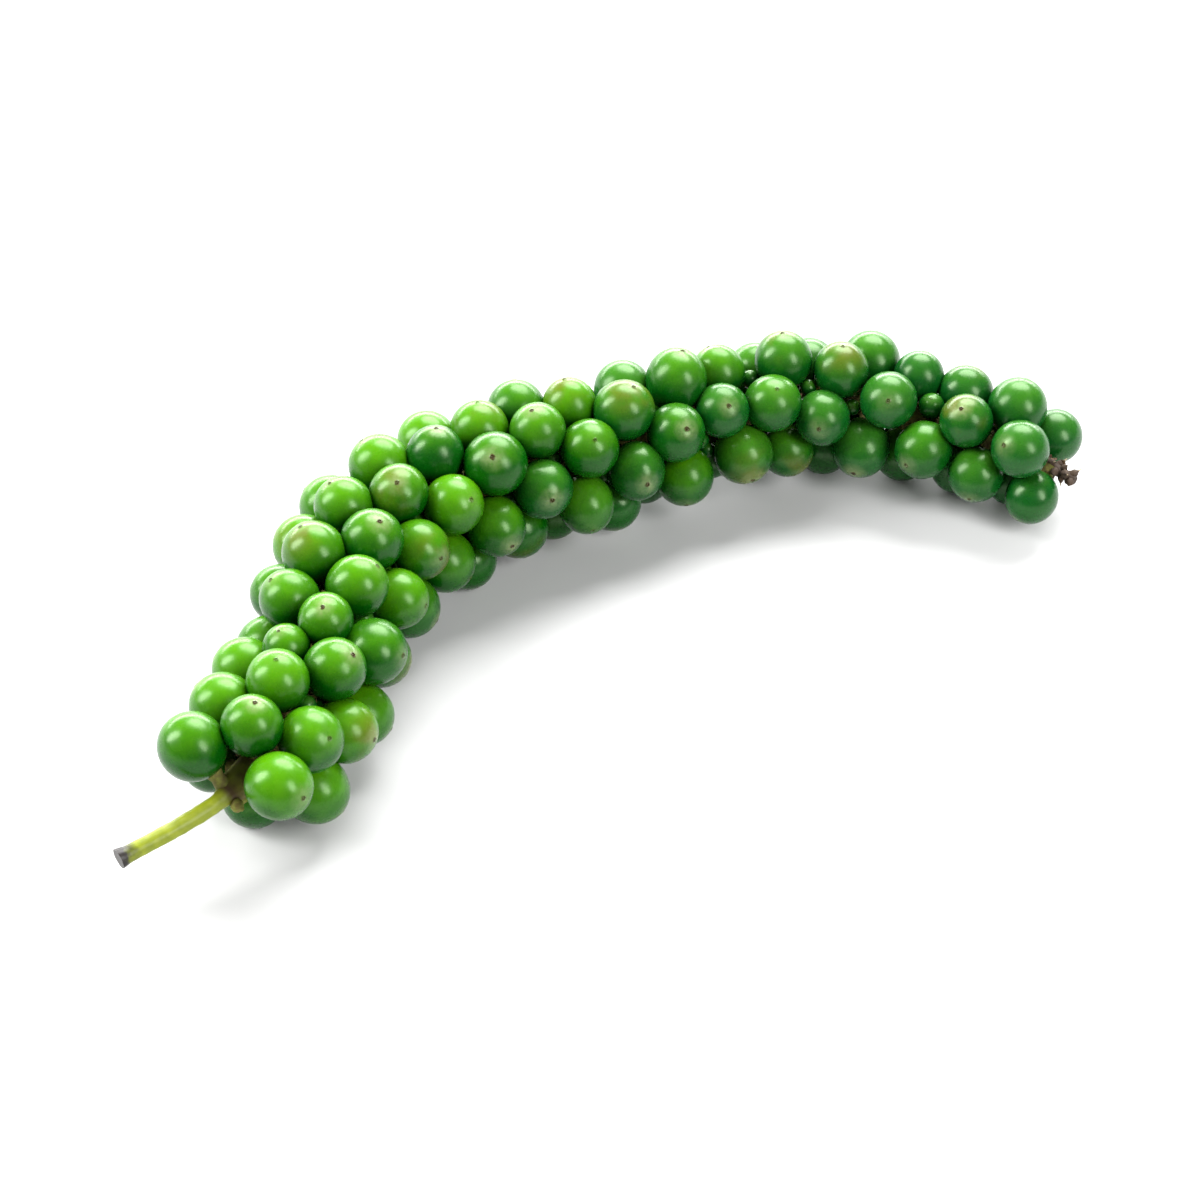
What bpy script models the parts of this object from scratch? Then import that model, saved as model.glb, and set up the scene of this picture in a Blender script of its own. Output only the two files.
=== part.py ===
"""A green peppercorn sprig, as picked and laid on a table.

The stem is one grown piece: a bare stalk with its cut end, the rachis that carries the fruit, and
the withered tip. The berries sit along the rachis in one spiral, about five around, or four where
it slims towards the tip, and press on each other until they hold together as one body. A flower
that set no berry leaves a small fruitlet on the stem, and most berries have a low cushion on the
stem under them.

Units are metres, +Z is up, and the origin is on the table under the middle of the sprig.
"""

import math

import bmesh
import bpy
import numpy as np
from mathutils import Matrix, Vector

MM = 0.001

# The stem's centreline: x, y and the height above the table, in millimetres, from the cut end of
# the stalk to the withered tip.
STEM_ROUTE = (
    (-41.45, -33.35, 7.0),
    (-36.75, -29.85, 7.4),
    (-33.05, -26.05, 7.6),
    (-29.95, -19.75, 7.7),
    (-27.25, -11.15, 7.8),
    (-25.75, -2.95, 7.8),
    (-22.75, 5.55, 7.8),
    (-16.25, 12.35, 7.8),
    (-6.65, 17.35, 7.8),
    (5.45, 23.25, 7.4),
    (12.35, 26.25, 7.1),
    (19.35, 27.25, 6.8),
    (25.15, 26.35, 6.6),
    (31.55, 23.55, 6.4),
    (37.25, 21.15, 6.1),
    (41.25, 18.05, 5.8),
)
LINE_STEP = 0.25 * MM

# The stem's radii, and the distances along it where they or the fruit change.
STALK_RADIUS = 0.76 * MM
CUT_END_RADIUS = 0.92 * MM
CUT_END_LENGTH = 0.9 * MM
JOINT_RADIUS = 0.98 * MM
RACHIS_RADIUS = 1.4 * MM
RACHIS_END_RADIUS = 0.75 * MM
TIP_RADIUS = 0.42 * MM
JOINT_AT = 10.8 * MM
FRUIT_FROM = 11.2 * MM
SLIM_FROM = 62.0 * MM
FRUIT_ENDS_BEFORE_TIP = 2.6 * MM
TIP_TAPER = 4.0 * MM
STEM_RING_STEP = 1.5 * MM
STEM_BEVEL_RESOLUTION = 2

# The spiral of flowers on the rachis. None by the joint sets fruit on the underside.
SEED = 36
SITE_PITCH = 0.78 * MM
TIP_SITE_PITCH = 1.15 * MM
TURN_PER_SITE = math.radians(137.5)
SITE_SLACK = 0.4 * MM
TURN_SLACK = math.radians(11.0)
UNSET_SHARE = 0.08
BARE_UNDERNEATH = 5.0 * MM

# Berry diameters: they shrink a little towards the tip, and a few stay small.
BASE_DIAMETER = 5.65 * MM
TIP_DIAMETER = 5.2 * MM
DIAMETER_SLACK = 0.2 * MM
SMALL_SHARE = 0.06
SMALL_SCALE = (0.72, 0.86)

# How the berries lie on the stem, on each other and on the table.
CUSHION_HEIGHT = 0.8 * MM
TIP_CUSHION_HEIGHT = 0.2 * MM
PRESSED_IN = 0.22 * MM
APART = 0.12 * MM
TABLE_FLAT = 0.07 * MM
SETTLE_ROUNDS = 600
EASE_OFF_FROM = 400
LINK_FROM = 300
PULL_TO_STEM = 0.06
PULL_TO_SITE = 0.01
PUSH_APART = 0.35
SPREAD_OUT = 0.03
EVEN_SPACE = 0.6 * MM
PULL_TO_NEIGHBOUR = 0.2

# The solids: a faceted ball is a little larger than the round berry across its corners.
FACET_GROWTH = 1.045
BERRY_LENGTHENING = 1.03
BERRY_REACH = FACET_GROWTH * BERRY_LENGTHENING
NODE_GAP = 0.3 * MM
CUSHION_SIDES = 6
CUSHION_BASE_RADIUS = 0.9 * MM
CUSHION_TOP_RADIUS = 0.5 * MM
CUSHION_STEP = 0.05 * MM
LEAST_CUSHION = 0.1 * MM
FRUITLET_RADIUS = 0.62 * MM
FRUITLET_LIFT = 0.35 * MM
TIP_BEADS = 7
TIP_BEAD_RADIUS = 0.42 * MM
TIP_BEADS_FROM_END = 2.6 * MM
WELD = 0.001 * MM
TABLE_CUTTER_DEPTH = 5 * MM
TABLE_CUTTER_WIDTH = 0.2

BERRY_ROUGHNESS = 0.3
STEM_ROUGHNESS = 0.6
BERRY_SHARP_ANGLE = math.radians(40)
STEM_SHARP_ANGLE = math.radians(50)
BERRY_GREEN = (0.22, 0.33, 0.03, 1)
STEM_OLIVE = (0.28, 0.30, 0.07, 1)


def smooth_line(route, step):
    """Points a step apart on the smooth curve through the route, and their distances along it."""
    points = np.array(route) * MM
    points = np.vstack([2 * points[0] - points[1], points, 2 * points[-1] - points[-2]])
    t = np.linspace(0, 1, 40, endpoint=False)[:, None]
    spans = []
    for a, b, c, d in zip(points, points[1:], points[2:], points[3:]):
        bend = 2 * a - 5 * b + 4 * c - d
        twist = -a + 3 * b - 3 * c + d
        spans.append(b + 0.5 * ((c - a) * t + bend * t**2 + twist * t**3))
    fine = np.vstack([*spans, points[-2]])
    run = np.concatenate([[0], np.cumsum(np.linalg.norm(np.diff(fine, axis=0), axis=1))])
    along = np.arange(0, run[-1], step)
    return np.stack([np.interp(along, run, fine[:, k]) for k in range(3)], axis=1), along


def directions(line):
    """Unit vectors along the line, to its side and over it, at each of its points."""
    ahead = np.gradient(line, axis=0)
    ahead /= np.linalg.norm(ahead, axis=1)[:, None]
    side = np.cross(ahead, [0.0, 0.0, 1.0])
    side /= np.linalg.norm(side, axis=1)[:, None]
    return ahead, side, np.cross(side, ahead)


def stem_radii(at, length):
    """The stem's radius at distances along it: cut end, stalk, joint, rachis and tip."""
    profile = (
        (0, CUT_END_RADIUS),
        (CUT_END_LENGTH, STALK_RADIUS),
        (JOINT_AT - CUT_END_LENGTH, STALK_RADIUS),
        (JOINT_AT, JOINT_RADIUS),
        (FRUIT_FROM + JOINT_RADIUS, RACHIS_RADIUS),
        (SLIM_FROM, RACHIS_RADIUS),
        (length - TIP_TAPER, RACHIS_END_RADIUS),
        (length, TIP_RADIUS),
    )
    return np.interp(at, *zip(*profile))


def flower_sites(line, along, random):
    """The spiral of flowers: distance along the stem, outward direction, size and whether it set."""
    _, side, over = directions(line)
    at = [FRUIT_FROM]
    while at[-1] < along[-1] - FRUIT_ENDS_BEFORE_TIP:
        at.append(at[-1] + np.interp(at[-1], (SLIM_FROM, along[-1]), (SITE_PITCH, TIP_SITE_PITCH)))
    count = len(at) - 1
    order = np.arange(count)
    at = at[:-1] + random.normal(0, SITE_SLACK, count)
    turn = TURN_PER_SITE * order + random.normal(0, TURN_SLACK, count)
    diameter = np.linspace(BASE_DIAMETER, TIP_DIAMETER, count)
    diameter += random.normal(0, DIAMETER_SLACK, count)
    small = random.random(count) < SMALL_SHARE
    diameter[small] *= random.uniform(*SMALL_SCALE, count)[small]
    near = np.clip((at / LINE_STEP).astype(int), 0, len(line) - 1)
    outward = np.cos(turn)[:, None] * side[near] + np.sin(turn)[:, None] * over[near]
    bare = (at < FRUIT_FROM + BARE_UNDERNEATH) & (outward[:, 2] < 0)
    is_set = (random.random(count) >= UNSET_SHARE) & ~bare
    return at, near, outward, diameter / 2, is_set


def smallest_gaps(gap):
    """The pairs of berries that link all of them together across the smallest gaps."""
    nearest = gap[0].copy()
    partner = np.zeros(len(gap), int)
    nearest[0] = np.inf
    pairs = []
    for _ in range(len(gap) - 1):
        new = nearest.argmin()
        pairs.append((new, partner[new]))
        closer = (gap[new] < nearest) & np.isfinite(nearest)
        partner[closer] = new
        nearest[closer] = gap[new][closer]
        nearest[new] = np.inf
    return np.array(pairs).T


def settle(line, along, at, near, outward, radius, obstacles):
    """Lets the berries press on the stem, the table and each other, and returns their centres."""
    ahead, _, _ = directions(line)
    cushion = np.interp(at, (SLIM_FROM, along[-1]), (CUSHION_HEIGHT, TIP_CUSHION_HEIGHT))
    reach = stem_radii(along[near], along[-1]) + cushion + radius
    centre = line[near] + outward * reach[:, None]
    apart_from_itself = np.eye(len(radius))
    close = radius[:, None] + radius[None] + APART
    linked = np.zeros(close.shape, bool)
    clear = radius * BERRY_REACH + FRUITLET_RADIUS + NODE_GAP
    for step in range(SETTLE_ROUNDS):
        ease = min(1.0, (SETTLE_ROUNDS - step) / (SETTLE_ROUNDS - EASE_OFF_FROM))
        between = centre[:, None] - centre[None]
        distance = np.linalg.norm(between, axis=2) + apart_from_itself
        away = between / distance[:, :, None]
        gap = distance - close
        push = np.clip(-gap, 0, None) * PUSH_APART
        if step < LINK_FROM:
            push += np.clip(EVEN_SPACE - gap, 0, EVEN_SPACE) * SPREAD_OUT
        if step == LINK_FROM:
            first, second = smallest_gaps(gap)
            linked[first, second] = linked[second, first] = True
            close -= np.where(linked, APART + PRESSED_IN, 0)
        push -= np.where(linked, np.clip(gap, 0, None) * PULL_TO_NEIGHBOUR, 0)
        centre = centre + (away * push[:, :, None]).sum(axis=1)
        for obstacle in obstacles:
            from_it = centre - obstacle
            far = np.linalg.norm(from_it, axis=1)
            centre += from_it / far[:, None] * np.clip(clear - far, 0, None)[:, None]
        from_line = np.linalg.norm(centre[:, None] - line[None], axis=2)
        foot = from_line.argmin(axis=1)
        off = from_line.min(axis=1)
        excess = off - reach
        inward = (line[foot] - centre) / off[:, None]
        centre += inward * (np.where(excess > 0, PULL_TO_STEM * ease, 1.0) * excess)[:, None]
        centre -= ahead[foot] * ((along[foot] - at) * PULL_TO_SITE * ease)[:, None]
        centre[:, 2] = np.maximum(centre[:, 2], radius - TABLE_FLAT)
    return centre, foot


def grow_sprig():
    """Everything that the shapes need: the stem's line, the berries and the fruitlets."""
    line, along = smooth_line(STEM_ROUTE, LINE_STEP)
    random = np.random.default_rng(SEED)
    at, near, outward, radius, is_set = flower_sites(line, along, random)
    unset = ~is_set
    lift = stem_radii(along[near[unset]], along[-1]) + FRUITLET_LIFT
    fruitlets = line[near[unset]] + outward[unset] * lift[:, None]
    berries = [values[is_set] for values in (at, near, outward, radius)]
    centre, foot = settle(line, along, *berries, fruitlets)
    return line, along, centre, radius[is_set], foot, fruitlets


def new_material(name, colour, roughness):
    material = bpy.data.materials.new(name)
    material.use_nodes = True
    shader = material.node_tree.nodes["Principled BSDF"]
    shader.inputs["Base Color"].default_value = colour
    shader.inputs["Roughness"].default_value = roughness
    shader.inputs["Metallic"].default_value = 0.0
    return material


def new_collection(name):
    collection = bpy.data.collections.new(name)
    bpy.context.scene.collection.children.link(collection)
    return collection


def bead_mesh():
    """A ball of radius 1 with 20 faces."""
    bm = bmesh.new()
    bmesh.ops.create_icosphere(bm, subdivisions=1, radius=1.0)
    mesh = bpy.data.meshes.new("bead")
    bm.to_mesh(mesh)
    bm.free()
    return mesh


def ball_mesh():
    """A ball of radius 1 with 60 faces: twelve low pyramids, each on a pentagon."""
    bm = bmesh.new()
    bmesh.ops.create_icosphere(bm, subdivisions=1, radius=1.0)
    bead_edges = bm.edges[:]
    bmesh.ops.poke(bm, faces=bm.faces)
    for vertex in bm.verts:
        vertex.co.normalize()
    bmesh.ops.rotate_edges(bm, edges=bead_edges, use_ccw=False)
    mesh = bpy.data.meshes.new("ball")
    bm.to_mesh(mesh)
    bm.free()
    return mesh


def cushion_mesh():
    """A low cone of height 1 that stands on the origin."""
    bm = bmesh.new()
    bmesh.ops.create_cone(
        bm,
        cap_ends=True,
        segments=CUSHION_SIDES,
        radius1=CUSHION_BASE_RADIUS,
        radius2=CUSHION_TOP_RADIUS,
        depth=1.0,
        matrix=Matrix.Translation((0, 0, 0.5)),
    )
    mesh = bpy.data.meshes.new("cushion")
    bm.to_mesh(mesh)
    bm.free()
    return mesh


def placing(place, outward, scale):
    """The matrix that scales a mesh, turns its +Z outward and moves it to its place."""
    turn = Vector(outward).to_track_quat("Z", "Y").to_matrix().to_4x4()
    return Matrix.Translation(place) @ turn @ Matrix.Diagonal((*scale, 1.0))


def add_copy(name, mesh, collection, matrix):
    copy = bpy.data.objects.new(name, mesh)
    collection.objects.link(copy)
    copy.matrix_world = matrix
    return copy


def fuse(body, grown):
    """Joins a collection's objects to the body as one solid, and removes them."""
    union = body.modifiers.new("fuse", "BOOLEAN")
    union.operation = "UNION"
    union.operand_type = "COLLECTION"
    union.collection = grown
    union.solver = "MANIFOLD"
    bpy.context.view_layer.objects.active = body
    bpy.ops.object.modifier_apply(modifier=union.name)
    for obj in list(grown.objects):
        bpy.data.objects.remove(obj)
    bpy.data.collections.remove(grown)


def shade_round(obj, sharp_angle):
    obj.data.shade_smooth()
    obj.data.set_sharp_from_angle(angle=sharp_angle)


def make_stem_tube(line, along, collection):
    """The stalk, the rachis and the tip as one closed tube."""
    rings = np.arange(0, along[-1], STEM_RING_STEP)
    rings[-1] = along[-1]
    rings = np.sort(np.append(rings, [CUT_END_LENGTH, JOINT_AT]))
    curve = bpy.data.curves.new("stem_curve", "CURVE")
    curve.dimensions = "3D"
    curve.bevel_depth = 1.0
    curve.bevel_resolution = STEM_BEVEL_RESOLUTION
    curve.use_fill_caps = True
    spline = curve.splines.new("POLY")
    spline.points.add(len(rings) - 1)
    for point, at, radius in zip(spline.points, rings, stem_radii(rings, along[-1])):
        point.co = (*(np.interp(at, along, line[:, k]) for k in range(3)), 1.0)
        point.radius = radius
    guide = bpy.data.objects.new("stem_curve", curve)
    collection.objects.link(guide)
    evaluated = guide.evaluated_get(bpy.context.evaluated_depsgraph_get())
    mesh = bpy.data.meshes.new_from_object(evaluated)
    bm = bmesh.new()
    bm.from_mesh(mesh)
    bmesh.ops.remove_doubles(bm, verts=bm.verts, dist=WELD)
    bm.to_mesh(mesh)
    bm.free()
    stem = add_copy("stem", mesh, collection, guide.matrix_world)
    bpy.data.objects.remove(guide)
    return stem


def cushion_height(foot_point, stem_radius, outward, index, centre, radius):
    """How far out from the stem's line a cushion reaches and still clears every berry."""
    hull = radius * BERRY_REACH + NODE_GAP
    height = np.linalg.norm(centre[index] - foot_point) - hull[index]
    others = np.arange(len(radius)) != index
    while height > stem_radius + LEAST_CUSHION:
        top = foot_point + outward * height
        room = np.linalg.norm(centre[others] - top, axis=1) - hull[others]
        if room.min() >= CUSHION_TOP_RADIUS:
            return height
        height -= CUSHION_STEP
    return None


def make_stem(line, along, centre, radius, foot, fruitlets, collection):
    """The stem with a cushion under each berry, the fruitlets and the withered tip."""
    stem = make_stem_tube(line, along, collection)
    grown = new_collection("stem_growths")
    cushion = cushion_mesh()
    thickness = stem_radii(along[foot], along[-1])
    for index, (place, foot_point) in enumerate(zip(centre, line[foot])):
        outward = place - foot_point
        outward /= np.linalg.norm(outward)
        height = cushion_height(foot_point, thickness[index], outward, index, centre, radius)
        if height is not None:
            add_copy("cushion", cushion, grown, placing(foot_point, outward, (1, 1, height)))
    bead = bead_mesh()
    for place in fruitlets:
        nearest = line[np.linalg.norm(line - place, axis=1).argmin()]
        add_copy("fruitlet", bead, grown, placing(place, place - nearest, [FRUITLET_RADIUS] * 3))
    _, side, over = directions(line)
    for order in range(TIP_BEADS):
        at = along[-1] - TIP_BEADS_FROM_END * (order + 0.5) / TIP_BEADS
        near = np.searchsorted(along, at) - 1
        turn = TURN_PER_SITE * order
        outward = np.cos(turn) * side[near] + np.sin(turn) * over[near]
        place = line[near] + outward * stem_radii(at, along[-1])
        add_copy("tip_bead", bead, grown, placing(place, outward, [TIP_BEAD_RADIUS] * 3))
    fuse(stem, grown)
    shade_round(stem, STEM_SHARP_ANGLE)
    stem.data.materials.append(new_material("stem", STEM_OLIVE, STEM_ROUGHNESS))
    return stem


def make_berries(line, centre, radius, foot, collection):
    """All the berries, pressed together as one body and flat where they lie on the table."""
    ball = ball_mesh()
    grown = new_collection("berry_growths")
    matrices = []
    for place, foot_point, size in zip(centre, line[foot], radius):
        across = size * FACET_GROWTH
        matrices.append(placing(place, place - foot_point, (across, across, size * BERRY_REACH)))
    first = ball.copy()
    first.transform(matrices[0])
    berries = add_copy("berries", first, collection, Matrix.Identity(4))
    for matrix in matrices[1:]:
        add_copy("berry", ball, grown, matrix)
    fuse(berries, grown)
    shade_round(berries, BERRY_SHARP_ANGLE)
    berries.data.materials.clear()
    berries.data.materials.append(new_material("berry_skin", BERRY_GREEN, BERRY_ROUGHNESS))
    return berries


def make_table_cutter(collection):
    """A slab under the table's surface."""
    bpy.ops.mesh.primitive_cube_add(size=1.0, location=(0, 0, -TABLE_CUTTER_DEPTH / 2))
    cutter = bpy.context.object
    cutter.name = "table_cutter"
    cutter.scale = (TABLE_CUTTER_WIDTH, TABLE_CUTTER_WIDTH, TABLE_CUTTER_DEPTH)
    cutter.display_type = "WIRE"
    cutter.hide_render = True
    for other in list(cutter.users_collection):
        other.objects.unlink(cutter)
    collection.objects.link(cutter)
    return cutter


def cut_flat(obj, cutter):
    cut = obj.modifiers.new("table", "BOOLEAN")
    cut.operation = "DIFFERENCE"
    cut.object = cutter


def main():
    for obj in list(bpy.data.objects):
        bpy.data.objects.remove(obj)
    collection = new_collection("green_peppercorn_sprig")
    cutters = new_collection("cutters")
    line, along, centre, radius, foot, fruitlets = grow_sprig()
    make_stem(line, along, centre, radius, foot, fruitlets, collection)
    berries = make_berries(line, centre, radius, foot, collection)
    cut_flat(berries, make_table_cutter(cutters))


main()
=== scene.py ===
import math

import bpy
import numpy as np
from mathutils import Matrix, Vector


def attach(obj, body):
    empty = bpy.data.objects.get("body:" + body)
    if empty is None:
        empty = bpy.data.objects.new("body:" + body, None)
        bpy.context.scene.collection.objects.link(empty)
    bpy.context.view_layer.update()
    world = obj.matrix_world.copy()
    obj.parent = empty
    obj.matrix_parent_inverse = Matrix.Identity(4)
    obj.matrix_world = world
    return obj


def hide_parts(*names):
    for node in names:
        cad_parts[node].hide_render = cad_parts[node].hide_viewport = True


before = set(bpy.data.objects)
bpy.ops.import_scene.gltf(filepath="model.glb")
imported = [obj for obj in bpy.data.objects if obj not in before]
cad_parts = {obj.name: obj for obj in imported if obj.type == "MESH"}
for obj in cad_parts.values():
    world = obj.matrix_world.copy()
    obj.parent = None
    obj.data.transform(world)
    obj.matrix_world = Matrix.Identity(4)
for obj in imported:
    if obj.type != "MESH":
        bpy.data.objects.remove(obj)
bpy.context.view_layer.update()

bpy.ops.object.select_all(action="DESELECT")

MM = 0.001

# This layout is the same as the solids', so that each piece lies where its solid does.
# The stem's centreline from the cut end to the withered tip: x, y and height above the table, in mm.
STEM_ROUTE = (
    (-41.45, -33.35, 7.0),
    (-36.75, -29.85, 7.4),
    (-33.05, -26.05, 7.6),
    (-29.95, -19.75, 7.7),
    (-27.25, -11.15, 7.8),
    (-25.75, -2.95, 7.8),
    (-22.75, 5.55, 7.8),
    (-16.25, 12.35, 7.8),
    (-6.65, 17.35, 7.8),
    (5.45, 23.25, 7.4),
    (12.35, 26.25, 7.1),
    (19.35, 27.25, 6.8),
    (25.15, 26.35, 6.6),
    (31.55, 23.55, 6.4),
    (37.25, 21.15, 6.1),
    (41.25, 18.05, 5.8),
)
LINE_STEP = 0.25 * MM

# The stem's radii, and the distances along it where they change.
STALK_RADIUS = 0.76 * MM
CUT_END_RADIUS = 0.92 * MM
CUT_END_LENGTH = 0.9 * MM
JOINT_RADIUS = 0.98 * MM
RACHIS_RADIUS = 1.4 * MM
RACHIS_END_RADIUS = 0.75 * MM
TIP_RADIUS = 0.42 * MM
JOINT_AT = 10.8 * MM
FRUIT_FROM = 11.2 * MM
SLIM_FROM = 62.0 * MM
FRUIT_ENDS_BEFORE_TIP = 2.6 * MM
TIP_TAPER = 4.0 * MM

# The spiral of flowers on the rachis.
SEED = 36
SITE_PITCH = 0.78 * MM
TIP_SITE_PITCH = 1.15 * MM
TURN_PER_SITE = math.radians(137.5)
SITE_SLACK = 0.4 * MM
TURN_SLACK = math.radians(11.0)
UNSET_SHARE = 0.08
BARE_UNDERNEATH = 5.0 * MM

# Berry diameters: they shrink a little towards the tip, and a few stay small.
BASE_DIAMETER = 5.65 * MM
TIP_DIAMETER = 5.2 * MM
DIAMETER_SLACK = 0.2 * MM
SMALL_SHARE = 0.06
SMALL_SCALE = (0.72, 0.86)

# How the berries lie on the stem, on each other and on the table.
CUSHION_HEIGHT = 0.8 * MM
TIP_CUSHION_HEIGHT = 0.2 * MM
PRESSED_IN = 0.22 * MM
APART = 0.12 * MM
TABLE_FLAT = 0.07 * MM
SETTLE_ROUNDS = 600
EASE_OFF_FROM = 400
LINK_FROM = 300
PULL_TO_STEM = 0.06
PULL_TO_SITE = 0.01
PUSH_APART = 0.35
SPREAD_OUT = 0.03
EVEN_SPACE = 0.6 * MM
PULL_TO_NEIGHBOUR = 0.2

FACET_GROWTH = 1.045
BERRY_LENGTHENING = 1.03
BERRY_REACH = FACET_GROWTH * BERRY_LENGTHENING
NODE_GAP = 0.3 * MM
FRUITLET_RADIUS = 0.62 * MM
FRUITLET_LIFT = 0.35 * MM
SMOOTH_BELOW = math.radians(60)


def smooth_line(route, step):
    """Points a step apart on the smooth curve through the route, and their distances along it."""
    points = np.array(route) * MM
    points = np.vstack([2 * points[0] - points[1], points, 2 * points[-1] - points[-2]])
    t = np.linspace(0, 1, 40, endpoint=False)[:, None]
    spans = []
    for a, b, c, d in zip(points, points[1:], points[2:], points[3:]):
        bend = 2 * a - 5 * b + 4 * c - d
        twist = -a + 3 * b - 3 * c + d
        spans.append(b + 0.5 * ((c - a) * t + bend * t**2 + twist * t**3))
    fine = np.vstack([*spans, points[-2]])
    run = np.concatenate([[0], np.cumsum(np.linalg.norm(np.diff(fine, axis=0), axis=1))])
    along = np.arange(0, run[-1], step)
    return np.stack([np.interp(along, run, fine[:, k]) for k in range(3)], axis=1), along


def directions(line):
    """Unit vectors along the line, to its side and over it, at each of its points."""
    ahead = np.gradient(line, axis=0)
    ahead /= np.linalg.norm(ahead, axis=1)[:, None]
    side = np.cross(ahead, [0.0, 0.0, 1.0])
    side /= np.linalg.norm(side, axis=1)[:, None]
    return ahead, side, np.cross(side, ahead)


def stem_radii(at, length):
    """The stem's radius at distances along it: cut end, stalk, joint, rachis and tip."""
    profile = (
        (0, CUT_END_RADIUS),
        (CUT_END_LENGTH, STALK_RADIUS),
        (JOINT_AT - CUT_END_LENGTH, STALK_RADIUS),
        (JOINT_AT, JOINT_RADIUS),
        (FRUIT_FROM + JOINT_RADIUS, RACHIS_RADIUS),
        (SLIM_FROM, RACHIS_RADIUS),
        (length - TIP_TAPER, RACHIS_END_RADIUS),
        (length, TIP_RADIUS),
    )
    return np.interp(at, *zip(*profile))


def flower_sites(line, along, random):
    """The spiral of flowers: distance along the stem, outward direction, size and whether it set."""
    _, side, over = directions(line)
    at = [FRUIT_FROM]
    while at[-1] < along[-1] - FRUIT_ENDS_BEFORE_TIP:
        at.append(at[-1] + np.interp(at[-1], (SLIM_FROM, along[-1]), (SITE_PITCH, TIP_SITE_PITCH)))
    count = len(at) - 1
    order = np.arange(count)
    at = at[:-1] + random.normal(0, SITE_SLACK, count)
    turn = TURN_PER_SITE * order + random.normal(0, TURN_SLACK, count)
    diameter = np.linspace(BASE_DIAMETER, TIP_DIAMETER, count)
    diameter += random.normal(0, DIAMETER_SLACK, count)
    small = random.random(count) < SMALL_SHARE
    diameter[small] *= random.uniform(*SMALL_SCALE, count)[small]
    near = np.clip((at / LINE_STEP).astype(int), 0, len(line) - 1)
    outward = np.cos(turn)[:, None] * side[near] + np.sin(turn)[:, None] * over[near]
    bare = (at < FRUIT_FROM + BARE_UNDERNEATH) & (outward[:, 2] < 0)
    is_set = (random.random(count) >= UNSET_SHARE) & ~bare
    return at, near, outward, diameter / 2, is_set


def smallest_gaps(gap):
    """The pairs of berries that link all of them together across the smallest gaps."""
    nearest = gap[0].copy()
    partner = np.zeros(len(gap), int)
    nearest[0] = np.inf
    pairs = []
    for _ in range(len(gap) - 1):
        new = nearest.argmin()
        pairs.append((new, partner[new]))
        closer = (gap[new] < nearest) & np.isfinite(nearest)
        partner[closer] = new
        nearest[closer] = gap[new][closer]
        nearest[new] = np.inf
    return np.array(pairs).T


def settle(line, along, at, near, outward, radius, obstacles):
    """Lets the berries press on the stem, the table and each other, and returns their centres."""
    ahead, _, _ = directions(line)
    cushion = np.interp(at, (SLIM_FROM, along[-1]), (CUSHION_HEIGHT, TIP_CUSHION_HEIGHT))
    reach = stem_radii(along[near], along[-1]) + cushion + radius
    centre = line[near] + outward * reach[:, None]
    apart_from_itself = np.eye(len(radius))
    close = radius[:, None] + radius[None] + APART
    linked = np.zeros(close.shape, bool)
    clear = radius * BERRY_REACH + FRUITLET_RADIUS + NODE_GAP
    for step in range(SETTLE_ROUNDS):
        ease = min(1.0, (SETTLE_ROUNDS - step) / (SETTLE_ROUNDS - EASE_OFF_FROM))
        between = centre[:, None] - centre[None]
        distance = np.linalg.norm(between, axis=2) + apart_from_itself
        away = between / distance[:, :, None]
        gap = distance - close
        push = np.clip(-gap, 0, None) * PUSH_APART
        if step < LINK_FROM:
            push += np.clip(EVEN_SPACE - gap, 0, EVEN_SPACE) * SPREAD_OUT
        if step == LINK_FROM:
            first, second = smallest_gaps(gap)
            linked[first, second] = linked[second, first] = True
            close -= np.where(linked, APART + PRESSED_IN, 0)
        push -= np.where(linked, np.clip(gap, 0, None) * PULL_TO_NEIGHBOUR, 0)
        centre = centre + (away * push[:, :, None]).sum(axis=1)
        for obstacle in obstacles:
            from_it = centre - obstacle
            far = np.linalg.norm(from_it, axis=1)
            centre += from_it / far[:, None] * np.clip(clear - far, 0, None)[:, None]
        from_line = np.linalg.norm(centre[:, None] - line[None], axis=2)
        foot = from_line.argmin(axis=1)
        off = from_line.min(axis=1)
        excess = off - reach
        inward = (line[foot] - centre) / off[:, None]
        centre += inward * (np.where(excess > 0, PULL_TO_STEM * ease, 1.0) * excess)[:, None]
        centre -= ahead[foot] * ((along[foot] - at) * PULL_TO_SITE * ease)[:, None]
        centre[:, 2] = np.maximum(centre[:, 2], radius - TABLE_FLAT)
    return centre, foot


def grow_sprig():
    """Everything that the shapes need: the stem's line, the berries and the fruitlets."""
    line, along = smooth_line(STEM_ROUTE, LINE_STEP)
    random = np.random.default_rng(SEED)
    at, near, outward, radius, is_set = flower_sites(line, along, random)
    unset = ~is_set
    lift = stem_radii(along[near[unset]], along[-1]) + FRUITLET_LIFT
    fruitlets = line[near[unset]] + outward[unset] * lift[:, None]
    berries = [values[is_set] for values in (at, near, outward, radius)]
    centre, foot = settle(line, along, *berries, fruitlets)
    return line, along, centre, radius[is_set], foot, fruitlets


# Helpers for modelling in edit mode.
def edit(obj):
    bpy.ops.object.select_all(action="DESELECT")
    obj.select_set(True)
    bpy.context.view_layer.objects.active = obj
    bpy.ops.object.mode_set(mode="EDIT")


def leave_edit():
    bpy.ops.object.mode_set(mode="OBJECT")


def select_faces(obj, wanted):
    """In edit mode, selects the faces for which wanted(face) is true."""
    bpy.ops.mesh.select_mode(type="FACE")
    bpy.ops.mesh.select_all(action="DESELECT")
    bpy.ops.object.mode_set(mode="OBJECT")
    for face in obj.data.polygons:
        face.select = wanted(face)
    bpy.ops.object.mode_set(mode="EDIT")


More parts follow.
